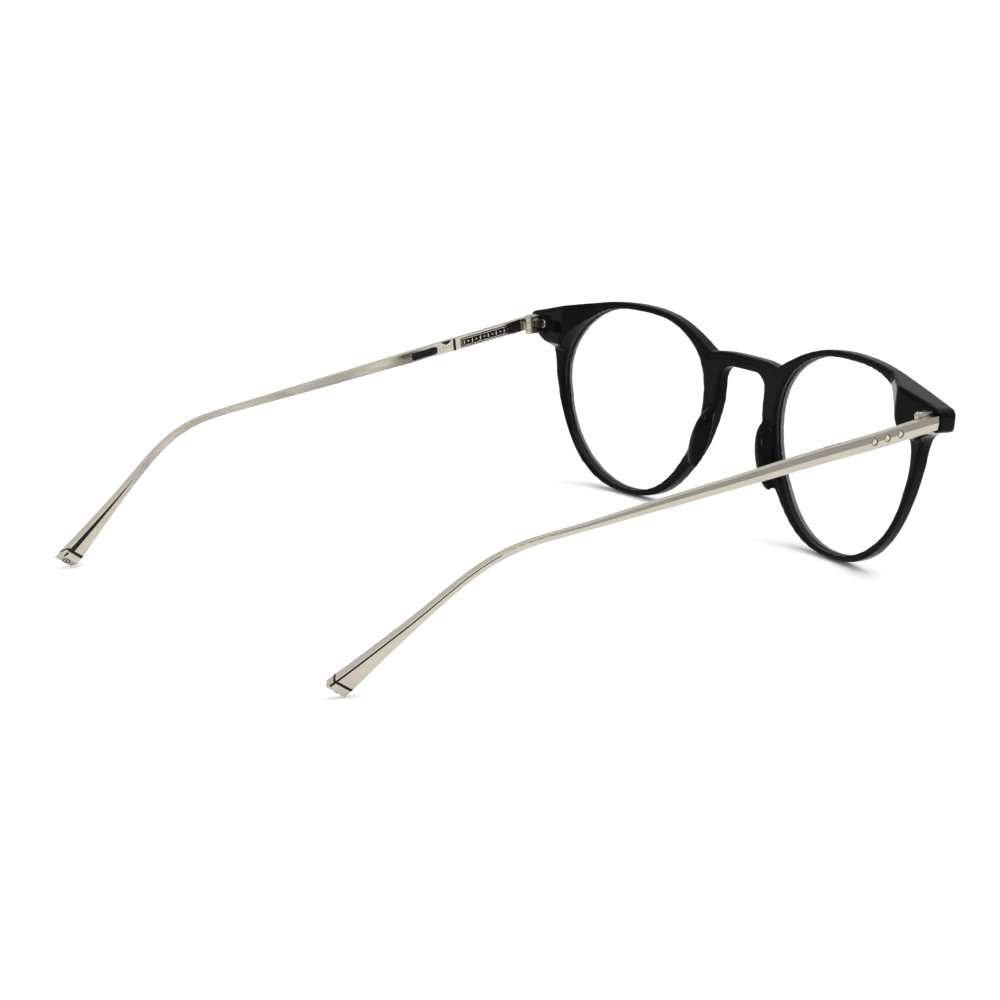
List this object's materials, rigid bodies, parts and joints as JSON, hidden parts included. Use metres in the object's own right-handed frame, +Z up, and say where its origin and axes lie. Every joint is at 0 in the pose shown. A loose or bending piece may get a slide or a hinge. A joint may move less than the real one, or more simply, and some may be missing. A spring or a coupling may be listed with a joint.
{
  "type": "eyeglasses",
  "caption": "Folding eyeglasses with a black acetate front, keyhole bridge and slim faceted metal temples ending in slanted capped tips.",
  "frame": {"origin": "centre of the base of the glasses as they stand open on a table", "axes": "+Z up, -Y the way the wearer looks, temples running towards +Y, +X the wearer's left"},
  "size_m": [0.141, 0.1508, 0.0459],
  "materials": {
    "black_acetate": "polished black acetate with rounded edges",
    "clear_lens": "clear demonstration lens",
    "temple_metal": "polished pale warm silver",
    "hinge_metal": "satin steel",
    "rivet_metal": "polished",
    "black_enamel": "black enamel fill"
  },
  "bodies": {
    "front": {"front_frame": "black_acetate", "lens_left": "clear_lens", "nose_pad_left": "black_acetate", "endpiece_rivet_left": "rivet_metal", "hinge_block_left": "hinge_metal", "hinge_screw_left": "hinge_metal", "lens_right": "clear_lens", "nose_pad_right": "black_acetate", "endpiece_rivet_right": "rivet_metal", "hinge_block_right": "hinge_metal", "hinge_screw_right": "hinge_metal"},
    "temple_left_body": {"temple_left": "temple_metal", "temple_leaf_left": "hinge_metal", "badge_plate_left": "black_enamel", "badge_marks_left": "rivet_metal", "enamel_inlay_left": "black_enamel", "enamel_bands_left": "black_enamel", "enamel_wedge_left": "black_enamel", "stud_set_left": "rivet_metal", "tip_band_left": "black_enamel", "tip_cap_left": "temple_metal", "tip_ring_left": "black_enamel"},
    "temple_right_body": {"temple_right": "temple_metal", "temple_leaf_right": "hinge_metal", "badge_plate_right": "black_enamel", "badge_marks_right": "rivet_metal", "enamel_inlay_right": "black_enamel", "enamel_bands_right": "black_enamel", "enamel_wedge_right": "black_enamel", "stud_set_right": "rivet_metal", "tip_band_right": "black_enamel", "tip_cap_right": "temple_metal", "tip_ring_right": "black_enamel"}
  },
  "joints": [
    {"name": "temple_left_fold", "type": "hinge", "parent": "front", "child": "temple_left_body", "pos_m": [0.06735, -0.06139, 0.03723], "axis": [0, 0.1144, 0.9934], "range_deg": [0, 85]},
    {"name": "temple_right_fold", "type": "hinge", "parent": "front", "child": "temple_right_body", "pos_m": [-0.06735, -0.06139, 0.03723], "axis": [0, -0.1144, -0.9934], "range_deg": [0, 74.5]}
  ]
}
